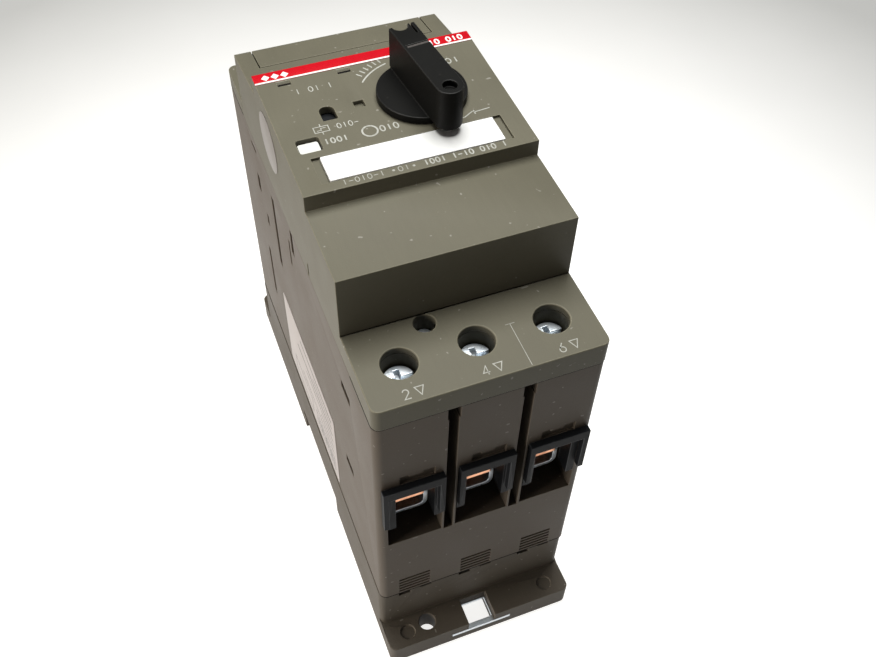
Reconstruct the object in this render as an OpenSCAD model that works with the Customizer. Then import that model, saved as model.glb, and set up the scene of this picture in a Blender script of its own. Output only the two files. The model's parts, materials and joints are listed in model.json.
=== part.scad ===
// Motor protection breaker, 55 mm wide, three poles, rotary handle, box terminals.
// It lies on its back: Z points away from the mounting plane, -Y is the load side, +Y the line side.

/* [Overall] */
// Width over the mounting base
base_w = 55; // [54.6:0.1:56]
// Length over both mounting feet
base_l = 140; // [139:0.5:142]
// Length of the housing between its two terminal faces
body_l = 124; // [123:0.5:125]
// Height of the top of the handle above the mounting plane
total_h = 149; // [148:0.5:151]

/* [Casing levels] */
// Thickness of the mounting feet
foot_h = 8; // [7.5:0.1:9]
// Height of the seam between base and main housing
seam_z = 26; // [24:0.5:27]
// Height of the seam between main housing and covers
cover_z = 108.4; // [108:0.1:109]
// Height of the load terminal cover
load_top_z = 115.2; // [114.5:0.1:116]
// Height of the line terminal cover
line_top_z = 113; // [112.5:0.1:114]
// Height of the step between the load terminals and the front face
step_z = 132.6; // [131.5:0.1:133.5]
// Height of the front face
front_z = 136.8; // [136:0.1:137.2]
// Wall thickness of the casings
wall = 2; // [1.8:0.1:2.2]

/* [Terminals] */
// Distance between two poles
pole_pitch = 17.7; // [17.5:0.05:17.9]
// Distance of the clamp screws from the middle of the breaker
screw_y = 51.6; // [51.2:0.1:52]
// Radius of the screwdriver holes above the clamp screws
access_r = 4.1; // [3.9:0.05:4.3]
// Underside of the copper bars
bar_z = 67.6; // [67.4:0.1:68]
// Thickness of the copper bars
bar_t = 1.8; // [1.5:0.1:1.8]

/* [Handle] */
// Radius of the round skirt of the handle
skirt_r = 10.6; // [10:0.1:11]
// Width of the handle's bar
grip_w = 6.4; // [6.2:0.1:6.6]
// Length of the handle's bar
grip_l = 27.2; // [26:0.1:28]
// Angle by which the bar stands off the length of the breaker when it is on
grip_turn = 6; // [0:1:8]

/* [Mounting] */
// Radius of the two mounting holes
mount_r = 2.4; // [2.2:0.05:2.6]
// Distance between the mounting holes across the breaker
mount_x = 30; // [29:0.5:31]
// Distance between the mounting holes along the breaker
mount_y = 130; // [130:0.5:131]
// Width of the top-hat rail
rail_w = 35; // [35:0.1:35.2]

/* [Hidden] */
$fn = 48;
eps = 0.01;
slack = 0.06;
gap = 0.25;
poles = [-pole_pitch, 0, pole_pitch];
rib_x = [-pole_pitch / 2, pole_pitch / 2];
ends = [-1, 1];
half_l = body_l / 2;
body_w = base_w - 0.4;
inner_w = body_w - 2 * wall;
load_step_y = -40.5;
face_y = -19.2;
raised_end_y = 24.2;
cover_end_y = 46;
strip_z = 131.7;
strip_end_z = 128;
handle_x = 8.1;
handle_y = 4.4;
skirt_h = 2;
hub_r = 5;
shaft_r = 3;
grip_z = front_z + skirt_h;
grip_far = 10.8;
grip_near = grip_l - grip_far;
shackle_y = 6.3;
dimple_r = 1.65;
window_w = 14.1;
window_z0 = 56;
window_z1 = 82.8;
chamber_y = 46;
ceiling_z = 101;
ceiling_h = 3.5;
bar_w = 8;
cage_w = 10.8;
cage_d = 9.4;
cage_z0 = 60;
cage_z1 = 88;
cage_t = 1.3;
screw_r = 2.5;
head_r = 3.6;
tip_y = 10.5;
tip_h = 0.8;
bridge_z = bar_z + bar_t + 2 * tip_h + 0.05;
bridge_t = 1.4;
beam_z = 77.4;
beam_h = 6;
beam_w = 47;
coil_y = -36;
coil_z0 = 76;
coil_z1 = 96;
coil_r = 6.3;
core_r = 3.3;
trip_y = -28;
trip_z = 104;
latch_y = -5;
latch_z = 97;
frame_z0 = 90.5;
frame_z1 = 113.2;
frame_t = 1.2;
frame_half = 11;
test_x = -21.4;
test_y = -3.7;
flag_x = -14.3;
flag_y = 5.5;
hatch_w = 45.4;
hatch_y = 36.6;
hatch_pin_y = 45;
hatch_pin_z = 119;
card_w = 40.8;
card_y = -12.3;
card_l = 8;
slider_w = 18;
slider_z = 3;
slider_t = 1.2;
slot_w = 8;
din_z = 7.7;
screw_hole_y = 43.2;
line_screw_y = 49.2;

// Outline of a plate between y0 and y1, with corner radius r0 at the y0 end and r1 at the y1 end
function plate_points(w, y0, y1, r0, r1, n = 6) = [
    for (q = [0:3]) for (i = [0:n])
        let (r = q < 2 ? r1 : r0, a = 90 * q + 90 * i / n, sx = (q == 0 || q == 3) ? 1 : -1)
            [sx * (w / 2 - r) + r * cos(a), (q < 2 ? y1 - r : y0 + r) + r * sin(a)]];

module plate(w, y0, y1, z0, z1, r0, r1) {
    translate([0, 0, z0]) linear_extrude(z1 - z0) polygon(plate_points(w, y0, y1, r0, r1));
}

// Box given by its lowest and highest corners
module block(low, high) {
    translate(low) cube(high - low);
}

module rod(r, x, y, z0, z1) {
    translate([x, y, z0]) cylinder(r = r, h = z1 - z0);
}

module cross_rod(r, x0, x1, y, z) {
    translate([x0, y, z]) rotate([0, 90, 0]) cylinder(r = r, h = x1 - x0);
}

// Outline in the YZ plane carried across the breaker
module side_profile(points, x0, x1) {
    translate([x0, 0, 0]) rotate([90, 0, 90]) linear_extrude(x1 - x0) polygon(points);
}

// Shape made for the load end, turned round to the other end when side is 1
module at_end(side) {
    if (side < 0) children();
    else mirror([0, 1, 0]) children();
}

// Plain sleeve that fills the space of a coil spring
module spring_sleeve(r, wire, x, y, z0, z1) {
    difference() {
        rod(r, x, y, z0, z1);
        rod(r - wire, x, y, z0 - 1, z1 + 1);
    }
}

module foot_marks() {
    for (s = [-1, 1]) rod(2.1, s * 21.2, -66, foot_h - 0.4, foot_h + 1);
}

module rail_channel() {
    block([-base_w, -rail_w / 2 - 0.2, 5.4], [base_w, rail_w / 2 + 0.2, din_z]);
    block([-base_w, -rail_w / 2 - 0.2, -1], [base_w, rail_w / 2 - 1.6, 5.4 + eps]);
}

module slider_guide() {
    block([-slider_w / 2 - 0.1, -base_l / 2 - 1, slider_z - 0.1],
        [slider_w / 2 + 0.1, -rail_w / 2 + eps, slider_z + slider_t + 0.1]);
    block([-slot_w / 2, -base_l / 2 - 1, slider_z], [slot_w / 2, -62.3, foot_h + 1]);
    block([-slot_w / 2, -68, -1], [slot_w / 2, -57, slider_z]);
    block([-3, -48, slider_z + slider_t], [3, -22, slider_z + slider_t + 3.2]);
}

module hook_notches() {
    for (x = poles) {
        block([x - 4.3, -62.5, seam_z - 3.4], [x - 0.9, -60.2, seam_z + 1]);
        block([x + 2, -62.5, seam_z - 2.6], [x + 5.3, -60.2, seam_z + 1]);
    }
}

module base_plate() {
    color([0.34, 0.31, 0.27]) difference() {
        union() {
            plate(base_w, -base_l / 2, base_l / 2, 0, foot_h, 2, 2);
            plate(base_w, -half_l + 0.8, half_l - 0.8, 0, seam_z, 2, 2);
        }
        plate(base_w - 2 * wall, -half_l + 3, half_l - 3, 12, seam_z + 1, 1, 1);
        rail_channel();
        slider_guide();
        for (s = ends) at_end(s) {
            foot_marks();
            hook_notches();
        }
        for (s = ends) rod(mount_r, s * mount_x / 2, s * mount_y / 2, -1, foot_h + 1);
        for (x = [-23.3, 23.3]) for (y = [-41.5, 41.5]) {
            rod(1.8, x, y, -1, 13);
            rod(3.1, x, y, -1, 6);
        }
    }
}

// Five ventilation slits under one terminal
module vent_slits(x) {
    for (i = [0:4]) block([x - 4.4, -half_l - 1, seam_z + 0.9 + 1.6 * i],
        [x + 4.4, -half_l + wall + 1, seam_z + 1.7 + 1.6 * i]);
}

// Chambers, windows and slots of the three terminals at the load end
module terminal_cuts() {
    for (x = poles) {
        block([x - window_w / 2, -half_l - 1, window_z0], [x + window_w / 2, -chamber_y - 1.5, window_z1]);
        block([x - cage_w / 2 - 0.6, -57.6, window_z0], [x + cage_w / 2 + 0.6, -chamber_y, ceiling_z]);
        block([x - bar_w / 2 - 0.05, -48, bar_z - 0.05], [x + bar_w / 2 + 0.05, -40, bar_z + bar_t + 0.05]);
        rod(screw_r + 0.4, x, -screw_y, ceiling_z - 1, ceiling_z + ceiling_h + 1);
        rod(access_r, x, -screw_y, ceiling_z + ceiling_h, cover_z + 1);
        vent_slits(x);
        block([x - 3.8, -half_l - 1, window_z1 + 1], [x - 1.6, -half_l + 0.6, window_z1 + 4]);
        block([x - 1.7, -half_l - 1, window_z1 + 1], [x + 2, -half_l + 0.6, window_z1 + 3.2]);
        block([x + 1.9, -half_l - 1, window_z1 + 1], [x + 4.8, -half_l + 0.6, window_z1 + 4]);
    }
    for (x = rib_x) {
        block([x - 1.2, -half_l - 1, window_z0 - 0.5], [x + 1.2, -half_l + 9.4, cover_z + 1]);
        block([x - 1.5, -half_l - 1, 104.4], [x + 1.5, -half_l + 5, cover_z + 1]);
    }
}

// Shallow pockets and slits in the two side walls
module side_pockets() {
    for (p = [[34.8, 104, 40.1, 105.2], [35.6, 89.3, 38.6, 94.9], [18.6, 76, 21.2, 101.5],
            [30.3, 81, 32.3, 84.8], [36, 46, 38.4, 66], [-0.7, 99.6, 1.6, 107.6], [3.6, 92, 5, 101],
            [-44.6, 94, -38, 96.8], [-42.4, 59.6, -36.6, 62.4]])
        for (s = [-1, 1]) {
            block([s < 0 ? -body_w : inner_w / 2 + 0.8, p[0], p[1]],
                [s < 0 ? -inner_w / 2 - 0.8 : body_w, p[2], p[3]]);
        }
}

module main_housing() {
    color([0.4, 0.37, 0.32]) difference() {
        union() {
            difference() {
                plate(body_w, -half_l, half_l, seam_z, cover_z, 2, 2);
                plate(inner_w, -chamber_y + 1.5, chamber_y - 1.5, seam_z - 1, cover_z + 1, 0.5, 0.5);
                for (s = ends) at_end(s)
                    block([-inner_w / 2, -half_l + wall, seam_z - 1], [inner_w / 2, -chamber_y, window_z0 - 3]);
            }
            for (x = rib_x) {
                block([x - 0.8, -chamber_y + 1, seam_z], [x + 0.8, chamber_y - 1, 66]);
                rod(3, x, 0, 60, 66);
            }
            for (s = [-1, 1]) {
                block([s < 0 ? -inner_w / 2 - 0.5 : 22.2, trip_y - 3, 98],
                    [s < 0 ? -22.2 : inner_w / 2 + 0.5, trip_y + 3, cover_z]);
            }
            for (x = [-23.3, 23.3]) for (y = [-41.5, 41.5])
                block([x - 3, y - 3.5, seam_z], [x + 3, y + 3.5, 42]);
            block([-pole_pitch / 2 - 3, -chamber_y + 1, 90], [-pole_pitch / 2 + 3, -40.9, cover_z]);
        }
        for (s = ends) at_end(s) terminal_cuts();
        side_pockets();
        for (s = [-1, 1]) cross_rod(1 + slack, s * 23.8 - 2, s * 23.8 + 2, trip_y, trip_z);
        rod(1.5, -pole_pitch / 2, -screw_hole_y, 92, cover_z + 1);
        rod(1.5, pole_pitch / 2, line_screw_y, 92, cover_z + 1);
        for (x = [-23.3, 23.3]) for (y = [-41.5, 41.5]) rod(1.6, x, y, seam_z - 1, 38);
    }
}

module cover_outline(inset, bottom) {
    side_profile([[load_step_y + inset, bottom], [load_step_y + inset, step_z - inset],
        [face_y + inset, step_z - inset], [face_y + inset, front_z - inset],
        [raised_end_y - inset, front_z - inset], [raised_end_y - inset, strip_z - inset],
        [cover_end_y - inset, strip_end_z - inset], [cover_end_y - inset, bottom]],
        -body_w / 2 + inset, body_w / 2 - inset);
}

// Slot with a sloped far side, below the stripe
module lamp_slot(x) {
    block([x - 1.6, 18.4, front_z - 3], [x + 1.6, 19.3, front_z + 1]);
    side_profile([[19.2, front_z - 0.8], [19.2, front_z + 0.1], [20.3, front_z + 0.1]], x - 1.6, x + 1.6);
}

module front_openings() {
    rod(hub_r + slack, handle_x, handle_y, front_z - 4, front_z + 1);
    translate([test_x, 0, front_z - 4]) linear_extrude(5)
        polygon(plate_points(5.4, test_y - 2.3, test_y + 2.3, 0.8, 0.8));
    translate([flag_x, 0, front_z - 4]) linear_extrude(5)
        polygon(plate_points(3.5, flag_y - 2.4, flag_y + 2.4, 0.2, 1.5));
    block([-7.8, 5.2, front_z - 1.2], [-5.3, 7.5, front_z + 1]);
    for (x = [-20.8, -6.2]) lamp_slot(x);
    block([-card_w / 2 - 2, card_y - card_l / 2 - 0.2, front_z - 0.8],
        [card_w / 2 + 2, card_y + card_l / 2 + 0.2, front_z + 1]);
}

module front_cover() {
    color([0.44, 0.43, 0.38]) difference() {
        union() {
            difference() {
                cover_outline(0, cover_z);
                cover_outline(wall, cover_z - 1);
            }
            block([-inner_w / 2 - 0.5, test_y - 3.3, 122.5], [-17, test_y + 3, 124]);
            block([-inner_w / 2 - 0.5, flag_y - 6.4, 131.6], [-10.5, flag_y + 7, 133.1]);
        }
        front_openings();
        rod(1.3, test_x, test_y, 121, 125);
        block([-hatch_w / 2 - gap, hatch_y - gap, hatch_pin_z - 1.4], [hatch_w / 2 + gap, cover_end_y + 1, 135]);
        cross_rod(1 + slack, -hatch_w / 2 - 1.6, hatch_w / 2 + 1.6, hatch_pin_y, hatch_pin_z);
        for (s = [-1, 1]) block([s * body_w / 2 - 0.8, -16.2, cover_z + 0.4], [s * body_w / 2 + 0.8, -15.1, 112.8]);
    }
}

module load_terminal_cover() {
    color([0.44, 0.43, 0.38]) difference() {
        plate(body_w, -half_l - 0.2, load_step_y - 0.02, cover_z + 0.02, load_top_z, 2, 0.1);
        plate(inner_w, -half_l + wall, load_step_y - wall, cover_z - 1, load_top_z - wall, 1, 0.5);
        for (x = poles) rod(access_r, x, -screw_y, cover_z, load_top_z + 1);
        rod(2.5, -pole_pitch / 2, -screw_hole_y, cover_z, load_top_z + 1);
    }
}

module line_terminal_cover() {
    color([0.44, 0.43, 0.38]) difference() {
        plate(body_w, cover_end_y + 0.02, half_l + 0.2, cover_z + 0.02, line_top_z, 0.1, 2);
        plate(inner_w, cover_end_y + wall, half_l - wall, cover_z - 1, line_top_z - wall, 0.5, 1);
        for (x = poles) rod(access_r, x, screw_y, cover_z, line_top_z + 1);
        for (s = [-1, 1]) block([s * 23.8 - 1.9, 47.6, line_top_z - 3], [s * 23.8 + 1.9, 57, line_top_z + 1]);
        rod(2.5, pole_pitch / 2, line_screw_y, cover_z, line_top_z + 1);
    }
}

module accessory_hatch() {
    slope = (strip_z - strip_end_z) / (cover_end_y - raised_end_y);
    near_z = strip_z - slope * (hatch_y - raised_end_y);
    color([0.44, 0.43, 0.38]) union() {
        side_profile([[hatch_y, near_z], [hatch_y, near_z - 1.8], [44, strip_end_z - 1.8],
            [44, hatch_pin_z], [cover_end_y, hatch_pin_z], [cover_end_y, strip_end_z]],
            -hatch_w / 2, hatch_w / 2);
        cross_rod(1, -hatch_w / 2 - 1.4, hatch_w / 2 + 1.4, hatch_pin_y, hatch_pin_z);
    }
}

module red_stripe() {
    color([0.85, 0.08, 0.08]) block([-body_w / 2, raised_end_y - 3.8, front_z + 0.01], [body_w / 2, raised_end_y, front_z + 0.15]);
}

module label_card() {
    color([0.95, 0.95, 0.95]) block([-card_w / 2, card_y - card_l / 2, front_z - 0.79],
        [card_w / 2, card_y + card_l / 2, front_z + 0.1]);
}

module round_sticker() {
    color([0.85, 0.85, 0.83]) cross_rod(7.5, -base_w / 2 + 0.02, -body_w / 2 - 0.01, 13.2, 125.6);
}

module side_label() {
    color([0.9, 0.9, 0.88]) block([-base_w / 2 + 0.02, -25.7, 29.2], [-body_w / 2 - 0.01, 24, 60.6]);
}

module test_button() {
    color([0.93, 0.93, 0.9]) union() {
        translate([test_x, 0, front_z - 2.2]) linear_extrude(1.2)
            polygon(plate_points(4.9, test_y - 2.05, test_y + 2.05, 0.6, 0.6));
        block([test_x - 3.3, test_y - 2.8, front_z - 3.3], [test_x + 3.3, test_y + 2.6, front_z - 2.15]);
        rod(1.2, test_x, test_y, 121.5, front_z - 3.2);
    }
}

module test_spring() {
    color("silver") spring_sleeve(2.2, 0.5, test_x, test_y, 124.02, front_z - 3.32);
}

module trip_flag() {
    color([0.2, 0.2, 0.18]) difference() {
        block([flag_x - 2.7, flag_y - 4.4, 133.15], [flag_x + 2.7, flag_y + 4.4, 134.6]);
        block([flag_x - 0.8, flag_y - 2.2, 133.9], [flag_x + 0.8, flag_y - 0.6, 135]);
    }
}

function grip_points(w, near, far) = concat(
    [for (i = [0:12]) [w / 2 * cos(180 + 15 * i), -near + w / 2 + w / 2 * sin(180 + 15 * i)]],
    [[w / 2, far], [-w / 2, far]]);

// Everything that turns with the handle, drawn with the bar along Y
module on_handle() {
    translate([handle_x, handle_y, 0]) rotate([0, 0, grip_turn]) children();
}

module rotary_handle() {
    color([0.08, 0.08, 0.08]) on_handle() difference() {
        union() {
            rod(skirt_r, 0, 0, front_z + 0.1, grip_z);
            rod(hub_r, 0, 0, front_z - 3, front_z + 0.2);
            translate([0, 0, grip_z - eps]) linear_extrude(total_h - grip_z + eps)
                polygon(grip_points(grip_w, grip_near, grip_far));
        }
        rod(shaft_r + 0.02, 0, 0, front_z - 4, grip_z + 1.2);
        block([-1.85, -5.5, grip_z + 1.5], [1.85, grip_l, total_h - 1.2]);
        rod(1.9, -0.4, grip_far, grip_z + 1.6, total_h + 1);
        rod(dimple_r, 0, 3 - grip_near, total_h - 1.6, total_h + 1);
        block([-grip_w / 2 + 0.8, 2.4, total_h - 0.4], [grip_w / 2 + 1, 3.2, total_h + 1]);
        block([1.95, 6.8, total_h - 4], [2.35, grip_l, total_h + 1]);
    }
}

module padlock_slide() {
    color([0.1, 0.1, 0.1]) on_handle() difference() {
        block([-1.4, -5.3, grip_z + 1.65], [1.4, grip_far - 0.6, total_h - 1.35]);
        translate([0, shackle_y, (grip_z + total_h) / 2]) rotate([0, 90, 0]) translate([0, 0, -3]) cylinder(r = 2.5, h = 6);
    }
}

module handle_shaft() {
    color("silver") on_handle() rod(shaft_r, 0, 0, frame_z0 + 0.2, grip_z + 1.1);
}

module drive_cam() {
    color([0.75, 0.72, 0.6]) on_handle() difference() {
        union() {
            rod(7.5, 0, 0, 103, 106.5);
            rod(4.6, 0, 0, 106.4, 111);
            rod(1.5, 0, 5, 98.5, 103.2);
        }
        rod(shaft_r + 0.02, 0, 0, 97, 112);
    }
}

module mechanism_frame() {
    color("gainsboro") difference() {
        union() {
            for (s = [-1, 1]) block([handle_x + s * frame_half - frame_t / 2, -9, frame_z0],
                [handle_x + s * frame_half + frame_t / 2, 13, frame_z1]);
            for (z = [frame_z0, frame_z1 - frame_t])
                block([handle_x - frame_half, -9, z], [handle_x + frame_half, 13, z + frame_t]);
            cross_rod(1.5, handle_x - frame_half, handle_x + frame_half, latch_y, latch_z);
        }
        rod(shaft_r + slack, handle_x, handle_y, frame_z0 - 1, frame_z1 + 1);
    }
}

module latch_lever() {
    color("darkgray") difference() {
        union() {
            cross_rod(2.6, 1, 4.4, latch_y, latch_z);
            block([1, latch_y - 13, latch_z - 1.6], [4.4, latch_y, latch_z + 0.6]);
        }
        cross_rod(1.5 + slack, 0, 6, latch_y, latch_z);
    }
}

module trip_bar() {
    color([0.75, 0.72, 0.6]) union() {
        block([-21.8, trip_y - 1.8, trip_z - 1.4], [21.8, trip_y + 1.8, trip_z + 1.4]);
        for (x = poles) block([x - 1.8, coil_y - 2.2, trip_z - 1.4], [x + 1.8, trip_y, trip_z + 0.2]);
        cross_rod(1, -24.6, 24.6, trip_y, trip_z);
    }
}

module contact_carrier() {
    color([0.75, 0.72, 0.6]) union() {
        block([-beam_w / 2, -4, beam_z], [beam_w / 2, 4, beam_z + beam_h]);
        for (x = poles) {
            for (s = [-1, 1]) block([x + s * 4.3 - 0.6, -3.5, bridge_z - 2.4], [x + s * 4.3 + 0.6, 3.5, beam_z + eps]);
            block([x - 4.9, -3.5, bridge_z - 2.4], [x + 4.9, 3.5, bridge_z - 1.2]);
        }
    }
}

module contact_bridges() {
    color([0.8, 0.48, 0.3]) for (x = poles) block([x - 3, -13.5, bridge_z], [x + 3, 13.5, bridge_z + bridge_t]);
}

module moving_tips() {
    color("silver") for (x = poles) for (s = ends) rod(2, x, s * tip_y, bridge_z - tip_h, bridge_z - eps);
}

module fixed_tips() {
    color("silver") for (x = poles) for (s = ends)
        rod(2, x, s * tip_y, bar_z + bar_t + eps, bar_z + bar_t + tip_h);
}

module contact_springs() {
    color("silver") for (x = poles) spring_sleeve(2.5, 0.5, x, 0, bridge_z + bridge_t + 0.02, beam_z - 0.02);
}

module opening_springs() {
    color("silver") for (x = rib_x) spring_sleeve(2.4, 0.5, x, 0, 66.05, beam_z - 0.05);
}

module conductor(x) {
    block([x - bar_w / 2, -57.4, bar_z], [x + bar_w / 2, -8, bar_z + bar_t]);
}

module load_conductors() {
    color([0.8, 0.48, 0.3]) for (x = poles) conductor(x);
}

module line_conductors() {
    color([0.8, 0.48, 0.3]) at_end(1) for (x = poles) conductor(x);
}

// Winding of one short-circuit release, seen as round turns one above the other
module trip_coils() {
    turns = 8;
    pitch = (coil_z1 - coil_z0) / turns;
    outline = concat([[core_r + 0.4, 0]],
        [for (i = [0:turns - 1]) for (p = [[coil_r - 0.5, i + 0.1], [coil_r, i + 0.4], [coil_r, i + 0.6],
            [coil_r - 0.5, i + 0.9]]) [p[0], p[1] * pitch]], [[core_r + 0.4, turns * pitch]]);
    color([0.8, 0.48, 0.3]) for (x = poles)
        translate([x, coil_y, coil_z0]) rotate_extrude() polygon(outline);
}

module coil_yokes() {
    color("dimgray") for (x = poles) difference() {
        block([x - 7.4, coil_y - 4, coil_z0 - 1.4], [x + 7.4, coil_y + 4, coil_z1 + 1.4]);
        block([x - 6.5, coil_y - 5, coil_z0 - 0.1], [x + 6.5, coil_y + 5, coil_z1 + 0.1]);
        rod(core_r, x, coil_y, coil_z0 - 3, coil_z1 + 3);
    }
}

module trip_plunger(i) {
    color("silver") union() {
        rod(core_r - 0.3, poles[i], coil_y, coil_z0 - 3.5, coil_z1 + 2);
        rod(1.2, poles[i], coil_y, coil_z1 + 1.9, trip_z - 1.8);
    }
}

module arc_plates() {
    color("dimgray") for (x = poles) for (s = ends) at_end(s) for (i = [0:6])
        block([x - 5.4, -28, 73 + 2.5 * i], [x + 5.4, -15.5, 74 + 2.5 * i]);
}

module arc_chute_walls() {
    color([0.85, 0.8, 0.68]) for (x = poles) for (s = ends) at_end(s) for (w = [-1, 1])
        block([x + w * 6 - 0.4, -28.4, 71.5], [x + w * 6 + 0.4, -15, 90]);
}

// Hood round the mouth of one terminal, open below; an outer one is a little wider on its outer side
module guide(x) {
    left = x - (x < 0 ? 8.4 : 7);
    right = x + (x > 0 ? 8.4 : 7);
    difference() {
        union() {
            block([left, -half_l - 1.8, window_z1 - 2], [right, -half_l - 0.03, window_z1 + 1]);
            for (low = [left, right - 1.4])
                block([low, -half_l - 1.8, 67.8], [low + 1.4, -half_l - 0.03, window_z1 - 1.9]);
            block([x - 6.9, -half_l - 0.1, 64], [x + 6.9, -57.8, window_z1 - 0.1]);
        }
        block([x - 4.9, -half_l - 3, 60], [x + 4.9, -57, window_z1 - 3]);
    }
}

module load_guides() {
    color([0.16, 0.17, 0.18]) for (x = poles) guide(x);
}

module line_guides() {
    color([0.16, 0.17, 0.18]) at_end(1) for (x = poles) guide(x);
}

// Steel box that rises on its screw and presses the wire against the copper bar
module clamp(x) {
    module outline(w, z0, z1, r) {
        polygon(plate_points(w, z0, z1, r, 0.3));
    }
    difference() {
        translate([x, -screw_y + cage_d / 2, 0]) rotate([90, 0, 0]) linear_extrude(cage_d) difference() {
            outline(cage_w, cage_z0, cage_z1, 2.2);
            outline(cage_w - 2 * cage_t, cage_z0 + cage_t, cage_z1 - 2, 1.2);
        }
        rod(screw_r + slack, x, -screw_y, cage_z1 - 4, cage_z1 + 1);
    }
}

module load_clamp(i) {
    color("silver") clamp(poles[i]);
}

module line_clamp(i) {
    color("silver") at_end(1) clamp(poles[i]);
}

// Clamp screw with a slotted and crossed head
module clamp_screw(x) {
    head_z = ceiling_z + ceiling_h + 0.1;
    difference() {
        union() {
            rod(screw_r, x, -screw_y, bar_z + bar_t + 0.08, head_z + 0.5);
            rod(head_r, x, -screw_y, head_z, head_z + 5);
        }
        block([x - head_r - 1, -screw_y - 0.6, head_z + 3.2], [x + head_r + 1, -screw_y + 0.6, head_z + 6]);
        block([x - 0.6, -screw_y - 2.4, head_z + 3.2], [x + 0.6, -screw_y + 2.4, head_z + 6]);
    }
}

module load_screw(i) {
    color("lightsteelblue") clamp_screw(poles[i]);
}

module line_screw(i) {
    color("lightsteelblue") at_end(1) clamp_screw(poles[i]);
}

module cover_screw(x, y) {
    difference() {
        union() {
            rod(1.45, x, y, 94, cover_z + 0.3);
            rod(2.3, x, y, cover_z + 0.25, cover_z + 2);
        }
        block([x - 3, y - 0.4, cover_z + 1.2], [x + 3, y + 0.4, cover_z + 3]);
    }
}

module cover_screws() {
    color("silver") {
        cover_screw(-pole_pitch / 2, -screw_hole_y);
        cover_screw(pole_pitch / 2, line_screw_y);
    }
}

module housing_screws() {
    color("silver") for (x = [-23.3, 23.3]) for (y = [-41.5, 41.5]) {
        rod(1.55, x, y, 5.5, 37);
        rod(3, x, y, 3, 5.9);
    }
}

module din_slider() {
    color([0.72, 0.75, 0.78]) difference() {
        union() {
            block([-slider_w / 2, -base_l / 2, slider_z], [slider_w / 2, -rail_w / 2 + 1.6, slider_z + slider_t]);
            block([-1.8, -24.6, slider_z + slider_t - eps], [1.8, -22.9, slider_z + slider_t + 2.8]);
        }
        block([-slot_w / 2 + 0.2, -68.4, slider_z - 1], [slot_w / 2 - 0.2, -62.4, slider_z + slider_t + 1]);
    }
}

module din_spring() {
    color("silver") translate([0, -25, slider_z + slider_t + 1.6]) rotate([90, 0, 0]) difference() {
        cylinder(r = 1.4, h = 22.8);
        translate([0, 0, -1]) cylinder(r = 1, h = 25);
    }
}

base_plate();
main_housing();
front_cover();
load_terminal_cover();
line_terminal_cover();
accessory_hatch();
red_stripe();
label_card();
round_sticker();
side_label();
test_button();
test_spring();
trip_flag();
rotary_handle();
padlock_slide();
handle_shaft();
drive_cam();
mechanism_frame();
latch_lever();
trip_bar();
contact_carrier();
contact_bridges();
moving_tips();
fixed_tips();
contact_springs();
opening_springs();
load_conductors();
line_conductors();
trip_coils();
coil_yokes();
trip_plunger(0);  // trip_plunger_1
trip_plunger(1);  // trip_plunger_2
trip_plunger(2);  // trip_plunger_3
arc_plates();
arc_chute_walls();
load_guides();
line_guides();
load_clamp(0);  // load_clamp_1
load_clamp(1);  // load_clamp_2
load_clamp(2);  // load_clamp_3
line_clamp(0);  // line_clamp_1
line_clamp(1);  // line_clamp_2
line_clamp(2);  // line_clamp_3
load_screw(0);  // load_screw_1
load_screw(1);  // load_screw_2
load_screw(2);  // load_screw_3
line_screw(0);  // line_screw_1
line_screw(1);  // line_screw_2
line_screw(2);  // line_screw_3
cover_screws();
housing_screws();
din_slider();
din_spring();
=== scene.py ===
# %% [markdown]
# # A motor protection breaker
# The breaker lies on its back. Its measured parts come from CAD as a fixed frame of named nodes, each one on
# the body that it moves with. This script gives them their finish, and adds what a drawing of sizes leaves
# out: rounded edges, moulded grain, printed marks, labels, wound springs and metal. Loading the frame comes
# first, because every later piece takes its place from it.

import json
import math

import bmesh
import bpy
import numpy as np
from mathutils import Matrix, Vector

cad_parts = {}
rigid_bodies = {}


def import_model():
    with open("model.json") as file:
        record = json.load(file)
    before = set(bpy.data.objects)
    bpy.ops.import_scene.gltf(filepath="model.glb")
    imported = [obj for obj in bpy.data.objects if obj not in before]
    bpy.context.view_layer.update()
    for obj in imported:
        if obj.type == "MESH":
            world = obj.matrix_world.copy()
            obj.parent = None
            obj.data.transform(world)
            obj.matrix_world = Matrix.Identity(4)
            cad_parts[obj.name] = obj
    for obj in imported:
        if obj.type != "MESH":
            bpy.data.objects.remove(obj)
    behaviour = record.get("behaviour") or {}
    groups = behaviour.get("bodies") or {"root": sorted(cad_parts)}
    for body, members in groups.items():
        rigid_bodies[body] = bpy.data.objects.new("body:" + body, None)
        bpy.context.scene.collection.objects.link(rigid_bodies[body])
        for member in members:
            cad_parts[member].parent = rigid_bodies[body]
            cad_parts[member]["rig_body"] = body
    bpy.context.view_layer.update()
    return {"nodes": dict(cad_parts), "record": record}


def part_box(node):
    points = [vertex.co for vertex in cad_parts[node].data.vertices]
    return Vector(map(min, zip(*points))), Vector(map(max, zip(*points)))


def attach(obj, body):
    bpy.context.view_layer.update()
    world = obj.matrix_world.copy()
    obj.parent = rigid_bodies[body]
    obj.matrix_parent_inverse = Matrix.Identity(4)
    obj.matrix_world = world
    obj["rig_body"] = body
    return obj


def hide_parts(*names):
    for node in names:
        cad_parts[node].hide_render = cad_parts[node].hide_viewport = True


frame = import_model()
slot_of = {part["node"]: part["material_slot"] for part in frame["record"]["subparts"]}
body_of = {node: obj["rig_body"] for node, obj in frame["nodes"].items()}
MM = 0.001
POLES, RIBS = (-17.7, 0.0, 17.7), (-8.85, 8.85)  # x of the three poles, and of the two walls between them
FRONT_Z, TOP_Z, LOAD_Z, LINE_Z = 136.8, 149.0, 115.2, 113.0  # faces of the front, handle, load and line covers

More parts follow.
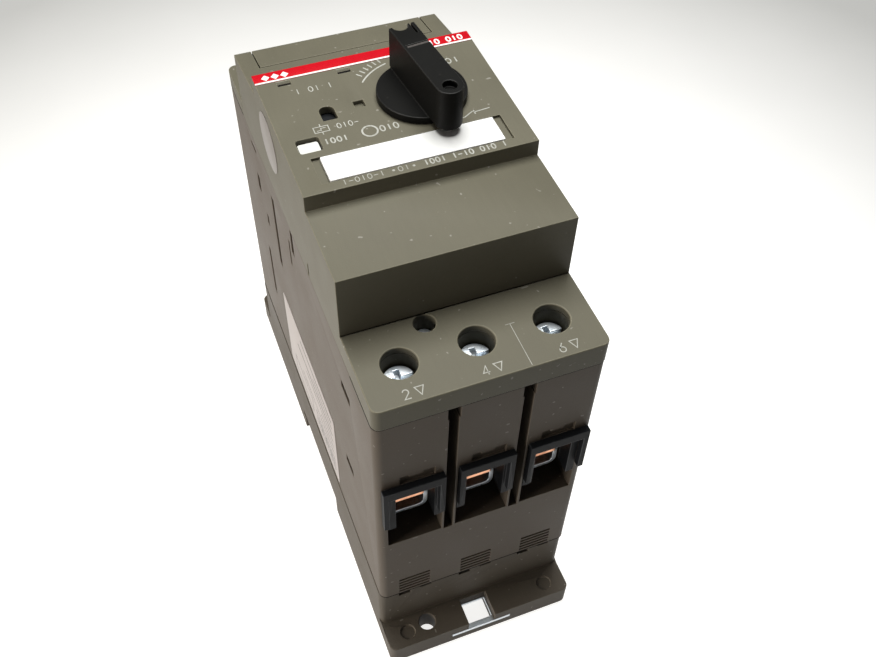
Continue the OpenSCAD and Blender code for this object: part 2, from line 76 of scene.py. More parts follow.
# %% [markdown]
# ## Shader sums
# A finish is a sum of a few patterns: a broad cloud, a fine grain, a scratch. The node editor could hold them,
# but a formula is easier to read and to change. So a socket is wrapped in a small class whose operators add
# Math nodes, and a finish is written as ordinary arithmetic.


# %% A socket that can be used in a formula
class Value:
    """One output socket that holds a number. A sum, difference or product of it adds a Math node."""

    def __init__(self, finish, socket):
        self.finish = finish
        self.socket = socket

    def math(self, operation, *others):
        """A Math node with this value first and the others after it."""
        return self.finish.add("ShaderNodeMath", {"operation": operation}, dict(enumerate((self, *others))))

    def __add__(self, other):
        return self.math("ADD", other)

    def __sub__(self, other):
        return self.math("SUBTRACT", other)

    def __mul__(self, other):
        return self.math("MULTIPLY", other)

    __radd__ = __add__
    __rmul__ = __mul__

    def __rsub__(self, other):
        return (self * -1) + other

    def above(self, edge, soft):
        """0 below the edge, 1 once the value is soft above it, straight in between."""
        sockets = {0: self, 1: edge, 2: edge + soft, 3: 0.0, 4: 1.0}
        return self.finish.add("ShaderNodeMapRange", {"clamp": True}, sockets)


# %% A material under construction
class Finish:
    """A material with one Principled shader. add() makes any other node."""

    def __init__(self, name, **constants):
        self.material = bpy.data.materials.new(name)
        self.material.use_nodes = True
        self.tree = self.material.node_tree
        self.shader = self.tree.nodes["Principled BSDF"]
        for socket, number in constants.items():
            self.shader.inputs[socket.replace("_", " ")].default_value = number
        self.place = self.add("ShaderNodeTexCoord", output="Object")

    def add(self, kind, settings=None, inputs=None, output=0):
        """A node of this kind: its settings first, then the values or links of its sockets."""
        node = self.tree.nodes.new(kind)
        for name, setting in (settings or {}).items():
            setattr(node, name, setting)
        for key, given in (inputs or {}).items():
            if isinstance(given, Value):
                self.tree.links.new(given.socket, node.inputs[key])
            else:
                node.inputs[key].default_value = given
        return Value(self, node.outputs[output])

    def noise(self, size, detail=2.0, stretch=(1, 1, 1)):
        """Cloudy noise from 0 to 1: blobs about size millimetres across, longer along an axis of stretch under 1."""
        scaled = self.add("ShaderNodeMapping", {}, {"Vector": self.place, "Scale": stretch})
        sockets = {"Vector": scaled, "Scale": 1 / (size * MM), "Detail": detail}
        return self.add("ShaderNodeTexNoise", {}, sockets)

    def blend(self, share, first, second):
        """The first colour where share is 0, the second where it is 1."""
        colours = {0: share, 6: rgb(first), 7: rgb(second)}
        return self.add("ShaderNodeMix", {"data_type": "RGBA"}, colours, output=2)

    def bump(self, height, depth):
        """A Bump node for a height from 0 to 1, with the given depth in millimetres."""
        return self.add("ShaderNodeBump", {}, {"Strength": 1.0, "Distance": depth * MM, "Height": height})

    def drive(self, **sockets):
        """Links computed values to the shader's sockets."""
        for name, given in sockets.items():
            self.tree.links.new(given.socket, self.shader.inputs[name.replace("_", " ")])
        return self.material


def rgb(colour):
    """A colour ready for a socket: a computed one as it is, or three numbers with an alpha of 1."""
    return colour if isinstance(colour, Value) else (*colour, 1.0)


def shade(colour, share):
    """A colour made lighter or darker by a factor."""
    return tuple(min(1.0, channel * share) for channel in colour)


# %% [markdown]
# ## Moulded plastic
# The casings are glass-filled plastic from a spark-eroded mould: a matt skin with a fine grain, faint flow
# clouds and a little pale dust. Edges are lighter, partly rubbed by hands and screwdrivers and partly a painted
# highlight where they catch the light. One function makes every plastic, because only its colour, grain and gloss
# change from part to part.


# %% Plastic finishes
DUST = (0.22, 0.21, 0.19)


def moulded(name, colour, rough, grain, depth, dust=0.0, cloud=0.08, size_of_cloud=14, gloss=0.10):
    """Plastic: colour x (1 + cloud pattern + grain pattern), with pale dust where a sparse noise peaks."""
    finish = Finish(name, Specular_IOR_Level=gloss)
    clouds = finish.noise(size_of_cloud, 4.0)
    grains = finish.noise(grain, 2.0)
    streaks = finish.noise(0.9, 2.0, stretch=(1, 0.12, 1))
    tone = clouds * 0.6 + streaks * 0.25 + grains * 0.35
    body = finish.blend(tone.above(0.35, 0.5), shade(colour, 1 - cloud), shade(colour, 1 + cloud))
    if dust:
        specks = finish.noise(1.1, 0.0).above(0.81, 0.05) * dust
        body = finish.blend(specks, body, DUST)
    roughness = clouds * 0.16 + grains * 0.1 + (rough - 0.13)
    return finish.drive(Base_Color=body, Roughness=roughness, Normal=finish.bump(grains, depth))


COVER_GREY = (0.076, 0.071, 0.052)
HOUSING_GREY = (0.066, 0.054, 0.042)
BASE_GREY = (0.060, 0.051, 0.040)
HANDLE_BLACK = (0.0034, 0.0034, 0.0032)
GUIDE_BLACK = (0.0085, 0.0092, 0.0105)

finishes = {
    "cover_plastic": moulded("cover_plastic", COVER_GREY, 0.50, 0.30, 0.020, dust=0.5),
    "housing_plastic": moulded("housing_plastic", HOUSING_GREY, 0.52, 0.32, 0.022, dust=0.4),
    "base_plastic": moulded("base_plastic", BASE_GREY, 0.55, 0.34, 0.024, dust=0.4),
    "handle_black": moulded("handle_black", HANDLE_BLACK, 0.46, 0.22, 0.010, dust=0.02, cloud=0.15, gloss=0.06),
    "guide_black": moulded("guide_black", GUIDE_BLACK, 0.45, 0.30, 0.008, dust=0.02, cloud=0.12, gloss=0.04),
    "insulation_tan": moulded("insulation_tan", (0.5, 0.45, 0.33), 0.45, 0.25, 0.012),
    "button_white": moulded("button_white", (0.42, 0.42, 0.40), 0.38, 0.4, 0.004, cloud=0.02),
}
# Lighter, glossier copies of the plastics for the bevel faces: partly rubbed wear, partly a painted highlight along the
# edges.
edge_wear_and_highlight = {
    "cover_plastic": moulded("cover_edge", shade(COVER_GREY, 1.35), 0.42, 0.30, 0.012, dust=0.6),
    "housing_plastic": moulded("housing_edge", shade(HOUSING_GREY, 1.25), 0.45, 0.32, 0.012, dust=0.5),
    "base_plastic": moulded("base_edge", shade(BASE_GREY, 1.2), 0.48, 0.34, 0.012, dust=0.5),
    "handle_black": moulded("handle_edge", shade(HANDLE_BLACK, 2.2), 0.40, 0.22, 0.008, cloud=0.15, gloss=0.12),
    "guide_black": moulded("guide_edge", shade(GUIDE_BLACK, 2.2), 0.40, 0.30, 0.006, cloud=0.12, gloss=0.08),
}
print("plastics:", len(finishes), "worn edges:", len(edge_wear_and_highlight))

# %% [markdown]
# ## Metal, paper and film
# Terminals are bare copper with a brown bloom, clamps and screws are steel with a bright or bluish zinc
# plating, and the inner steel is dark and rolled. The labels are matt card and satin film. A metal differs
# from a plastic in its patterns: drawn streaks along one axis, and stains that also change its gloss.


# %% Metal finishes
def metallic(name, colour, stain, rough, along, stains=0.3):
    """Metal: fine streaks along one axis in gloss and height, and stains that take the second colour."""
    finish = Finish(name, Metallic=1.0)
    streaks = finish.noise(0.35, 3.0, stretch=along)
    blooms = finish.noise(3.5, 4.0)
    pits = finish.noise(0.18, 1.0)
    cover = (blooms + streaks * 0.3).above(0.58, 0.25) * stains
    body = finish.blend(cover, finish.blend(pits, shade(colour, 0.92), shade(colour, 1.06)), stain)
    roughness = streaks * 0.22 + blooms * 0.14 + (rough - 0.16)
    return finish.drive(Base_Color=body, Roughness=roughness, Normal=finish.bump(streaks, 0.006))


ALONG_Y, ALONG_Z, NO_AXIS = (1, 0.06, 1), (1, 1, 0.06), (1, 1, 1)
finishes |= {
    "copper": metallic("copper", (0.90, 0.47, 0.28), (0.42, 0.17, 0.09), 0.34, ALONG_Y, stains=0.7),
    "contact_silver": metallic("contact_silver", (0.85, 0.84, 0.82), (0.5, 0.47, 0.42), 0.3, NO_AXIS),
    "steel_bright": metallic("steel_bright", (0.72, 0.73, 0.74), (0.45, 0.43, 0.40), 0.28, ALONG_Z),
    "steel_dark": metallic("steel_dark", (0.30, 0.29, 0.29), (0.16, 0.13, 0.11), 0.42, ALONG_Y, stains=0.6),
    "zinc": metallic("zinc", (0.68, 0.74, 0.80), (0.52, 0.50, 0.46), 0.30, NO_AXIS, stains=0.45),
}


# %% Card, film and pressed board
def coated(name, colour, fibre, rough, weight, size=1.2):
    """Card or film: short fibres or ripples that change the colour a little and the height a very little."""
    finish = Finish(name, Specular_IOR_Level=0.08)
    fibres = finish.noise(size, 3.0, stretch=(1, 0.3, 1))
    broad = finish.noise(12, 2.0)
    body = finish.blend((fibres * 0.6 + broad * 0.4).above(0.3, 0.45), fibre, colour)
    return finish.drive(Base_Color=body, Roughness=fibres * 0.12 + (rough - 0.06), Normal=finish.bump(fibres, weight))


finishes |= {
    "stripe_red": coated("stripe_red", (0.30, 0.003, 0.008), (0.27, 0.002, 0.006), 0.45, 0.002),
    "label_white": coated("label_white", (0.50, 0.50, 0.50), (0.46, 0.46, 0.455), 0.6, 0.004),
    "sticker_white": coated("sticker_white", (0.165, 0.155, 0.148), (0.140, 0.130, 0.124), 0.42, 0.003, size=4),
    "fibre": coated("fibre", (0.70, 0.64, 0.50), (0.58, 0.50, 0.36), 0.7, 0.02),
}
ink_white = coated("ink_white", (0.30, 0.30, 0.28), (0.17, 0.17, 0.15), 0.5, 0.006, size=0.5)
ink_dark = coated("ink_dark", (0.10, 0.10, 0.11), (0.05, 0.05, 0.05), 0.5, 0.003, size=0.5)
print("finishes:", sorted(finishes))

# %% [markdown]
# ## Lofted solids
# Most small pieces are a closed outline carried along a path: a button is an outline stacked in height, a
# printed line is a flat rectangle carried along a curve, a spring is a circle carried along a helix. So one
# loft makes them all. It takes a whole array of rings at once, joins each ring to the next, and closes the
# ends with one face each.


# %% Loft and stack
def loft(rings, closed=False):
    """Points and faces of a solid through rings of shape (R, K, 3), ring r joined to ring r + 1.

    A closed loft joins the last ring to the first; an open one gets an end face on each side."""
    rings = np.asarray(rings, float)
    count, size = rings.shape[:2]
    ring = np.arange(count if closed else count - 1)[:, None]
    k = np.arange(size)[None, :]
    after, beside = (ring + 1) % count, (k + 1) % size
    quads = np.stack([ring * size + k, ring * size + beside, after * size + beside, after * size + k], -1)
    faces = quads.reshape(-1, 4).tolist()
    if not closed:
        faces += [list(range(size))[::-1], list(range((count - 1) * size, count * size))]
    return rings.reshape(-1, 3), faces


def arc(centre, radii, start, end, steps=12):
    """Points on an ellipse from one angle to another, in degrees: centre + (rx cos a, ry sin a)."""
    a = np.radians(np.linspace(start, end, steps + 1))
    return np.stack([centre[0] + radii[0] * np.cos(a), centre[1] + radii[1] * np.sin(a)], -1)


def rounded(width, length, radius, steps=6):
    """A function of an inset that gives the outline of a rectangle with round corners, that much smaller all round."""
    def outline(inset):
        r = max(radius - inset, 0.01)
        half = np.array([width / 2 - inset - r, length / 2 - inset - r])
        corners = [(1, 1), (-1, 1), (-1, -1), (1, -1)]
        return np.concatenate([arc(half * c, (r, r), 90 * q, 90 * q + 90, steps) for q, c in enumerate(corners)])
    return outline


def disc(radius, steps=48):
    """A function of an inset that gives a circle, that much smaller."""
    return lambda inset: arc((0, 0), (radius - inset, radius - inset), 0, 360, steps)[:-1]


def stack(outline, levels, centre=(0, 0)):
    """Outline carried up through (inset, height) levels around a centre."""
    rings = [np.column_stack([outline(i) + centre, np.full(len(outline(i)), z)]) for i, z in levels]
    return loft(np.array(rings))


def soft_top(low, high, radius, steps=4):
    """Levels of a plate whose upper edge is a quarter circle: inset r (1 - sin a), height top - r (1 - cos a)."""
    a = np.linspace(math.pi / 2, 0, steps + 1)
    return [(0, low)] + list(zip(radius * (1 - np.sin(a)), high - radius * (1 - np.cos(a))))


# %% Strokes
def stroke(path, width, low, high, closed=False):
    """A flat bar along a path in plan.

    Each point p gives p + n w / 2m and p - n w / 2m at two heights, with n the mitred normal and m its mitre."""
    path = np.asarray(path, float)
    ahead = np.roll(path, -1, 0) - path
    behind = path - np.roll(path, 1, 0)
    if not closed:
        ahead[-1], behind[0] = behind[-1], ahead[0]
    unit = [d / np.linalg.norm(d, axis=1, keepdims=True) for d in (ahead, behind)]
    middle = unit[0] + unit[1]
    middle /= np.linalg.norm(middle, axis=1, keepdims=True)
    normal = np.stack([-middle[:, 1], middle[:, 0]], -1)
    mitre = np.clip(np.sum(middle * unit[0], axis=1, keepdims=True), 0.5, 1)
    side = normal * width / 2 / mitre
    level = np.ones(len(path))
    corners = [(path + side, low), (path - side, low), (path - side, high), (path + side, high)]
    rings = np.stack([np.column_stack([p, level * z]) for p, z in corners], 1)
    return loft(rings, closed)


def together(parts):
    """One list of points and faces from several."""
    points, faces, start = [], [], 0
    for part_points, part_faces in parts:
        points.append(part_points)
        faces += [[start + i for i in face] for face in part_faces]
        start += len(part_points)
    return np.concatenate(points), faces


print("a button's worth of points:", len(stack(rounded(4, 4, 1), soft_top(0, 1, 0.3))[0]))

# %% [markdown]
# ## Finished pieces
# A new mesh needs the same last steps every time: merge doubled points, turn every face outwards, shade it
# smoothly except at real edges, fix it to the body that it moves with, give it its finish and hide any CAD node
# that it stands for. A CAD node's own mesh is loose triangles, so its copy is merged first, and flat triangles
# are dissolved into whole faces. Then a Bevel modifier can round its real edges, as a mould's radius does, and
# the bevel's own faces take the lighter edge finish, which is partly wear and partly a painted highlight.

# %% From points and faces to a piece
SMOOTH_BELOW = math.radians(32)


def settle(obj, materials, body, replaced=()):
    """Materials, smooth shading and the frame's bookkeeping for one object."""
    for material in materials:
        obj.data.materials.append(material)
    obj.data.shade_smooth()
    obj.data.set_sharp_from_angle(angle=SMOOTH_BELOW)
    bpy.context.scene.collection.objects.link(obj)
    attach(obj, body)
    if replaced:
        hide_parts(*replaced)
    return obj


def piece(name, parts, slot, body, material=None, replaced=(), place=None):
    """A solid from parts in millimetres. place may carry its points elsewhere first."""
    points, faces = together(parts)
    if place:
        points = place(points)
    mesh = bpy.data.meshes.new(name)
    mesh.from_pydata((points * MM).tolist(), [], faces)
    bm = bmesh.new()
    bm.from_mesh(mesh)
    bmesh.ops.remove_doubles(bm, verts=bm.verts, dist=1e-7)
    bmesh.ops.recalc_face_normals(bm, faces=bm.faces)
    bm.to_mesh(mesh)
    bm.free()
    return settle(bpy.data.objects.new(name, mesh), [material or finishes[slot]], body, replaced)


# %% From a CAD node to a piece with rounded edges
WELD, FLAT, EDGE = 2e-6, math.radians(0.4), math.radians(38)


def dressed(node, radius, segments=2, split=False):
    """A merged copy of a CAD node with its edges rounded by a Bevel modifier of that radius, in millimetres.

    split first cuts faces of many corners, such as a frame round a window, into triangles."""
    mesh = frame["nodes"][node].data.copy()
    mesh.materials.clear()
    bm = bmesh.new()
    bm.from_mesh(mesh)
    bmesh.ops.remove_doubles(bm, verts=bm.verts, dist=WELD)
    bmesh.ops.dissolve_limit(bm, angle_limit=FLAT, verts=bm.verts, edges=bm.edges)
    if split:
        bmesh.ops.triangulate(bm, faces=[face for face in bm.faces if len(face.verts) > 4])
    bm.to_mesh(mesh)
    bm.free()
    slot = slot_of[node]
    obj = bpy.data.objects.new(node + "_piece", mesh)
    settle(obj, [finishes[slot], edge_wear_and_highlight.get(slot, finishes[slot])], body_of[node], [node])
    bevel = obj.modifiers.new("edges", "BEVEL")
    bevel.width = radius * MM
    bevel.segments = segments
    bevel.limit_method = "ANGLE"
    bevel.angle_limit = EDGE
    bevel.use_clamp_overlap = False
    bevel.harden_normals = not split
    # The bevel faces take the lighter edge copy: partly wear, partly a painted highlight.
    bevel.material = 1
    return obj


# %% [markdown]
# ## The casings
# The base, the housing, the front and the two terminal covers are separate mouldings with thin seams between
# them. Their outside edges have a visible radius that catches the light. The radius differs: the load terminal
# cover is the roundest, and the housing and the line terminal cover have the crispest edges.

# %% Round the edges of the casings
casing_radius = {
    "base_plate": 0.20, "main_housing": 0.12, "front_cover": 0.15, "load_terminal_cover": 0.30,
    "line_terminal_cover": 0.12, "accessory_hatch": 0.15,
}
casings = {node: dressed(node, radius) for node, radius in casing_radius.items()}
casings |= {node: dressed(node, 0.15, split=True) for node in ("load_guides", "line_guides")}
print("casings:", {name: len(obj.data.polygons) for name, obj in casings.items()})

# %% [markdown]
# ## Seams, wells and plates of painted shade
# Where two mouldings meet there is a step too fine for the drawing, and it is filled with shadow. A thin dark
# band a quarter of a millimetre high, laid round the outline, shows it. The screw holes in the covers are tubes
# that guide the screwdriver down to the screw: a tube is a small rectangle carried round in a circle. Two
# narrow dark plates in the slots below the stripe are painted shade, where the slots' depths lie in shadow.


# %% Bands, tubes and plates of painted shade
def tube(centre, inner, outer, low, high, steps=48):
    """A rectangle (inner..outer, low..high) carried round: p(a) = centre + r (cos a, sin a)."""
    a = np.radians(np.arange(steps) * 360 / steps)[:, None]
    r = np.array([inner, outer, outer, inner])[None, :]
    z = np.broadcast_to([low, low, high, high], (steps, 4))
    return loft(np.stack([centre[0] + r * np.cos(a), centre[1] + r * np.sin(a), z], -1), closed=True)


BODY_W, BODY_L, BODY_R, SEAM_Z, COVER_Z = 54.6, 124.0, 2.0, 26.0, 108.4
BAND, SIDE_END, CURVE_MID = 0.06, 46.5, 45
SCREW_Y, WELL_TOP = 51.6, {-1: 113.25, 1: 111.05}
# A near-black finish for painted shade, used by the seam bands and the slot plates.
dark = coated("seam_and_slot_painted_shade", (0.004, 0.0035, 0.003), (0.002, 0.002, 0.002), 0.8, 0.01)
seam_path = rounded(BODY_W + 0.02, BODY_L + 0.02, BODY_R)(0)
bands = [stroke(seam_path, BAND, SEAM_Z - 0.02, SEAM_Z + 0.26, closed=True)]
for side in (-1, 1):
    ends = seam_path[seam_path[:, 1] * side > 0]
    ends = ends[np.argsort(np.arctan2(ends[:, 0], ends[:, 1] * side - CURVE_MID))]
    path = np.concatenate([[[ends[0][0], side * SIDE_END]], ends, [[ends[-1][0], side * SIDE_END]]])
    bands.append(stroke(path, BAND, COVER_Z - 0.2, COVER_Z + 0.06))
piece("seam_shadows", bands, "housing_plastic", "housing", dark)
wells = [tube((x, side * SCREW_Y), 4.12, 4.7, COVER_Z - 0.2, top) for x in POLES for side, top in WELL_TOP.items()]
piece("screw_wells", wells, "cover_plastic", "housing")
# Painted shade: two thin dark plates laid a little below the surface of the lamp slots, standing where their depths lie
# in shadow.
slot_shade_plates = [stack(rounded(3.1, 0.86, 0.08, 2), soft_top(136.0, 136.55, 0.05, 2), (x, 18.85)) for x in (-20.8, -6.2)]
piece("lamp_slot_painted_shade", slot_shade_plates, "handle_black", "housing", dark)
print("seams:", len(bands), "wells:", len(wells), "lenses:", len(slot_shade_plates))

# %% [markdown]
# ## Metal parts and inner parts
# The screws, clamps, bars and the rail slider are pressed or turned, so their edges are only broken, not
# round. The rest of the works sits inside the housing and keeps its CAD mesh with the right finish.

# %% Break the edges of the metal parts
metal_radius = {"load_conductors": 0.25, "line_conductors": 0.25, "din_slider": 0.15, "cover_screws": 0.15}
for side in ("load", "line"):
    for n in (1, 2, 3):
        metal_radius |= {f"{side}_clamp_{n}": 0.22, f"{side}_screw_{n}": 0.14}
metals = {node: dressed(node, radius) for node, radius in metal_radius.items()}
small_radius = {"test_button": 0.25, "trip_flag": 0.12, "padlock_slide": 0.2}
small = {node: dressed(node, radius) for node, radius in small_radius.items()}
for node, obj in frame["nodes"].items():
    obj.data.materials.clear()
    obj.data.materials.append(finishes[slot_of[node]])
print("metal parts:", len(metals), "small mouldings:", len(small))

# %% [markdown]
# ## The rotary handle
# The handle is one black moulding: a low round skirt with a tall bar across it. The bar's near end is a round
# post that stands out over the skirt, with a dimple on top; its far end has a half-round notch, and a pale
# line across it shows which way it points. The moulding's edges are softly rounded, which is what gives a
# black part its shape in the light.

# %% Handle
TURN = math.radians(6)
HANDLE = np.array([8.1, 4.4])


def on_handle(points):
    """Points drawn with the bar along Y, turned and moved to the handle."""
    c, s = math.cos(TURN), math.sin(TURN)
    turned = points.copy()
    turned[:, 0] = HANDLE[0] + c * points[:, 0] - s * points[:, 1]
    turned[:, 1] = HANDLE[1] + s * points[:, 0] + c * points[:, 1]
    return turned


handle = dressed("rotary_handle", 0.18, segments=3)
pointer = stroke([(-2.3, 2.8), (3.05, 2.8)], 0.62, TOP_Z - 0.39, TOP_Z - 0.16)
pointer_grey = coated("pointer_grey", (0.050, 0.045, 0.043), (0.030, 0.027, 0.026), 0.5, 0.01, size=0.6)
piece("handle_pointer_line", [pointer], "handle_black", "handle", pointer_grey, place=on_handle)
print("handle faces:", len(handle.data.polygons))

# %% [markdown]
# ## Printed marks
# Marks are a thin layer of pale ink. A line of ink is a flat bar a few hundredths of a millimetre high, so it
# stays in place from every side. Words are left out: short rows of rings and ticks stand where print would
# be, and the symbols that remain are the plain ones of electrical drawings.

# %% Numerals and rows of ticks
NUMERALS = {
    "1": [[(0.10, 0.78), (0.36, 1.0), (0.36, 0.0)]],
    "2": [np.concatenate([arc((0.29, 0.71), (0.27, 0.28), 165, -30, 9), [(0.02, 0.0), (0.60, 0.0)]])],
    "3": [np.concatenate([arc((0.27, 0.75), (0.25, 0.25), 150, -80, 9), arc((0.27, 0.27), (0.29, 0.27), 78, -150, 9)])],
    "4": [[(0.44, 0.0), (0.44, 1.0), (0.0, 0.28), (0.62, 0.28)]],
    "5": [np.concatenate([[(0.55, 1.0), (0.14, 1.0), (0.08, 0.56)], arc((0.27, 0.31), (0.29, 0.31), 125, -150, 9)])],
    "6": [np.concatenate([[(0.46, 1.0)], arc((0.29, 0.29), (0.28, 0.29), 160, 500, 14)])],
}
INK = 0.03


def inked(path, width, level, closed=False):
    """A stroke of ink on a level face."""
    return stroke(path, width, level - 0.01, level + INK, closed)


def numeral(digit, corner, height, level, width=0.26, turn=1):
    """The strokes of a digit, from its lower left corner; turn -1 prints it the other way up."""
    lines = [np.asarray(line) * height * turn + corner for line in NUMERALS[digit]]
    return [inked(line, width, level) for line in lines]


def ticks(code, start, step, height, level, width=0.24):
    """A row of small rings, ticks, bars and gaps for the letters o, i, - and space."""
    parts = []
    for i, mark in enumerate(code):
        x, y = start[0] + i * step, start[1]
        if mark == "o":
            ring = arc((x, y + height / 2), (step * 0.33, height / 2), 0, 360, 12)[:-1]
            parts.append(inked(ring, width, level, True))
        elif mark == "i":
            parts.append(inked([(x, y), (x, y + height)], width, level))
        elif mark == "-":
            half, middle = step * 0.36, y + height / 2
            parts.append(inked([(x - half, middle), (x + half, middle)], width, level))
    return parts


# %% Marks on the front
def front_marks():
    """Every pale mark on the raised front: ring for off, tripped arc, open contact, coil sign and tick rows."""
    z = FRONT_Z
    marks = [inked(arc((-7.24, -3.6), (1.75, 1.75), 0, 360, 40)[:-1], 0.42, z, True)]
    marks.append(inked(arc(HANDLE, (14.6, 14.6), 106, 142, 16), 0.38, z))
    marks += ticks("oio", (-4.3, -4.6), 1.6, 1.9, z, 0.34)
    marks += ticks("iooi", (-17.4, -4.7), 1.45, 1.7, z, 0.34)
    marks += ticks("oi", (18.6, 13.5), 1.9, 1.9, z, 0.34)
    marks += ticks("i oi i", (-18.6, 14.2), 1.55, 1.8, z, 0.22)
    marks += ticks("oio-", (-13.2, -0.4), 1.35, 1.7, z, 0.22)
    for a in np.radians((109, 114, 119, 124, 129, 134)):
        marks.append(inked([HANDLE + r * np.array([math.cos(a), math.sin(a)]) for r in (15.6, 17.2)], 0.34, z))
    marks.append(inked([(12.6, -6.5), (14.6, -6.3), (17.0, -4.9)], 0.28, z))
    marks.append(inked([(17.3, -5.3), (21.2, -5.0)], 0.28, z))
    marks.append(inked([(17.3, -6.0), (17.3, -4.6)], 0.28, z))
    coil = [(-19.0, -0.4), (-15.6, -0.4), (-15.6, 1.5), (-19.0, 1.5)]
    marks.append(inked(coil, 0.22, z, True))
    marks += [inked([(-17.3, y), (-17.3, y + 0.8)], 0.22, z) for y in (-1.3, 1.6)]
    marks.append(inked([(-18.4, 0.2), (-17.4, 0.2), (-17.4, 0.9), (-16.2, 0.9)], 0.2, z))
    return marks


def row_below_card():
    """A row of fine ticks, a dotted group and a row of bolder ticks on the lip in front of the card."""
    z, y = FRONT_Z, -18.35
    dots = [stack(disc(0.32, 16), [(0, z - 0.01), (0, z + INK)], (x, y + 0.75)) for x in (-6.6, -1.9)]
    fine, middle = ticks("i-oio-i", (-17.6, y), 1.4, 1.5, z, 0.18), ticks("oi", (-5.0, y), 1.5, 1.5, z, 0.18)
    return fine + dots + middle + ticks("iooi i-io oio i", (1.0, y), 1.32, 1.6, z, 0.32)


piece("front_marks", front_marks(), "label_white", "housing", ink_white)
piece("serial_ticks", row_below_card(), "label_white", "housing", ink_white)
print("front marks:", len(front_marks()) + len(row_below_card()))

# %% [markdown]
# ## Terminal numbers
# Each terminal has its number beside it: 2, 4 and 6 at the load end, 1, 3 and 5 at the line end, turned round
# so that they read from there. A small open triangle after each number shows which way the current goes.

# %% Numbers on the two covers
def load_numbers():
    """2, 4, 6 with a triangle after each, and the thin line with its cross bar between the second and third pole."""
    marks = []
    for x, digit in zip(POLES, "246"):
        marks += numeral(digit, (x - 2.0, -60.9), 2.4, LOAD_Z)
        marks.append(inked([(x + 0.8, -58.6), (x + 2.8, -58.6), (x + 1.8, -60.8)], 0.24, LOAD_Z, True))
    marks.append(inked([(8.5, -61.7), (8.5, -49.8)], 0.13, LOAD_Z))
    marks.append(inked([(7.4, -49.8), (9.6, -49.8)], 0.13, LOAD_Z))
    return marks


def line_numbers():
    """1, 3, 5, turned to be read from the line end."""
    marks = []
    for x, digit in zip(POLES, "135"):
        marks += numeral(digit, (x + 2.0, 60.9), 2.4, LINE_Z, turn=-1)
        marks.append(inked([(x - 0.8, 58.6), (x - 2.8, 58.6), (x - 1.8, 60.8)], 0.24, LINE_Z, True))
    return marks


piece("load_numbers", load_numbers(), "label_white", "housing", ink_white)
piece("line_numbers", line_numbers(), "label_white", "housing", ink_white)
print("number strokes:", len(load_numbers()) + len(line_numbers()))

# %% [markdown]
# ## Stripe, card and labels
# The red stripe is a printed film with a thin white line along its near edge. The card is a plain white slip in
# a shallow recess, for the user's own note. A round sticker and a large rating label are on the left side;
# their print is only rows of grey lines. Each is a real thin layer, so its edge throws a small shadow.

# %% Stripe and card
stripe_low, stripe_high = (np.array(corner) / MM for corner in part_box("red_stripe"))
stripe_mid = (stripe_low + stripe_high)[:2] / 2
stripe_size = (stripe_high - stripe_low)[:2]
film = stack(rounded(*stripe_size, 0.2, 2), soft_top(stripe_low[2], stripe_high[2] - 0.03, 0.05, 2), stripe_mid)
piece("stripe_film", [film], "stripe_red", "housing", replaced=["red_stripe"])
stripe_top = stripe_high[2] - 0.02
line = rounded(stripe_size[0] - 0.1, 0.55, 0.05, 1)
patches = [stack(line, [(0, stripe_top - 0.02), (0, stripe_top + 0.02)], (0, stripe_low[1] + 0.3))]
for x in (-24.4, -22.1, -19.8):
    diamond = arc((x, 22.3), (1.0, 1.05), 0, 360, 4)[:-1]
    patches.append(loft([np.column_stack([diamond, np.full(4, z)]) for z in (stripe_top, stripe_top + 0.02)]))
patches += ticks("io oio", (17.2, 21.5), 1.5, 1.8, stripe_top, 0.4)
piece("stripe_white", patches, "label_white", "housing")

card_low, card_high = (np.array(corner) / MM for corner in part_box("label_card"))
card_size, card_mid = (card_high - card_low)[:2], (card_low + card_high)[:2] / 2
card = stack(rounded(*card_size, 0.3, 2), soft_top(card_low[2], card_high[2], 0.12, 2), card_mid)
piece("note_card", [card], "label_white", "housing", replaced=["label_card"])
print("card size mm:", card_size.round(2))

# %% Labels on the left side
sticker_low, sticker_high = (np.array(corner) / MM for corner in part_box("round_sticker"))
label_low, label_high = (np.array(corner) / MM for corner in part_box("side_label"))
LEFT_FACE, PRINT = label_high[0], (0.13, 0.155)


def on_left(points):
    """Points drawn in plan as (along Y, along Z, height) laid on the left wall, height outwards."""
    return np.stack([LEFT_FACE - points[:, 2], points[:, 0], points[:, 1]], -1)


sticker_mid = (sticker_low + sticker_high)[1:] / 2
piece("side_sticker", [stack(disc((sticker_high - sticker_low)[1] / 2), soft_top(0, 0.13, 0.04, 2), sticker_mid)],
      "sticker_white", "housing", replaced=["round_sticker"], place=on_left)
label_size, label_mid = (label_high - label_low)[1:], (label_low + label_high)[1:] / 2
piece("rating_label", [stack(rounded(*label_size, 1.2), soft_top(0, 0.14, 0.04, 2), label_mid)], "label_white",
      "housing", coated("label_film", (0.30, 0.28, 0.275), (0.27, 0.25, 0.245), 0.5, 0.003), ["side_label"], on_left)


def label_lines():
    """Rows of grey lines of different lengths, two framed boxes and a row of ticks."""
    marks = []
    left, top = label_low[1] + 3, label_high[2] - 4
    for row, length in enumerate((30, 18, 34, 26, 12, 31)):
        y = top - 3.1 * row
        marks.append(stroke([(left, y), (left + length, y)], 0.7 if row in (0, 2) else 0.4, *PRINT))
    low, high = label_low[2] + 3, label_low[2] + 9
    for x in (left, left + 22):
        marks.append(stroke([(x, low), (x + 18, low), (x + 18, high), (x, high)], 0.25, *PRINT, True))
    for i in range(11):
        x = left + 1.2 + 1.5 * i
        marks.append(stroke([(x, low + 1.2), (x, high - 1.2)], 0.35 + 0.25 * (i % 3), *PRINT))
    return marks


piece("label_lines", label_lines(), "label_white", "housing", ink_dark, place=on_left)
print("label mm:", label_size.round(1), "lines:", len(label_lines()))

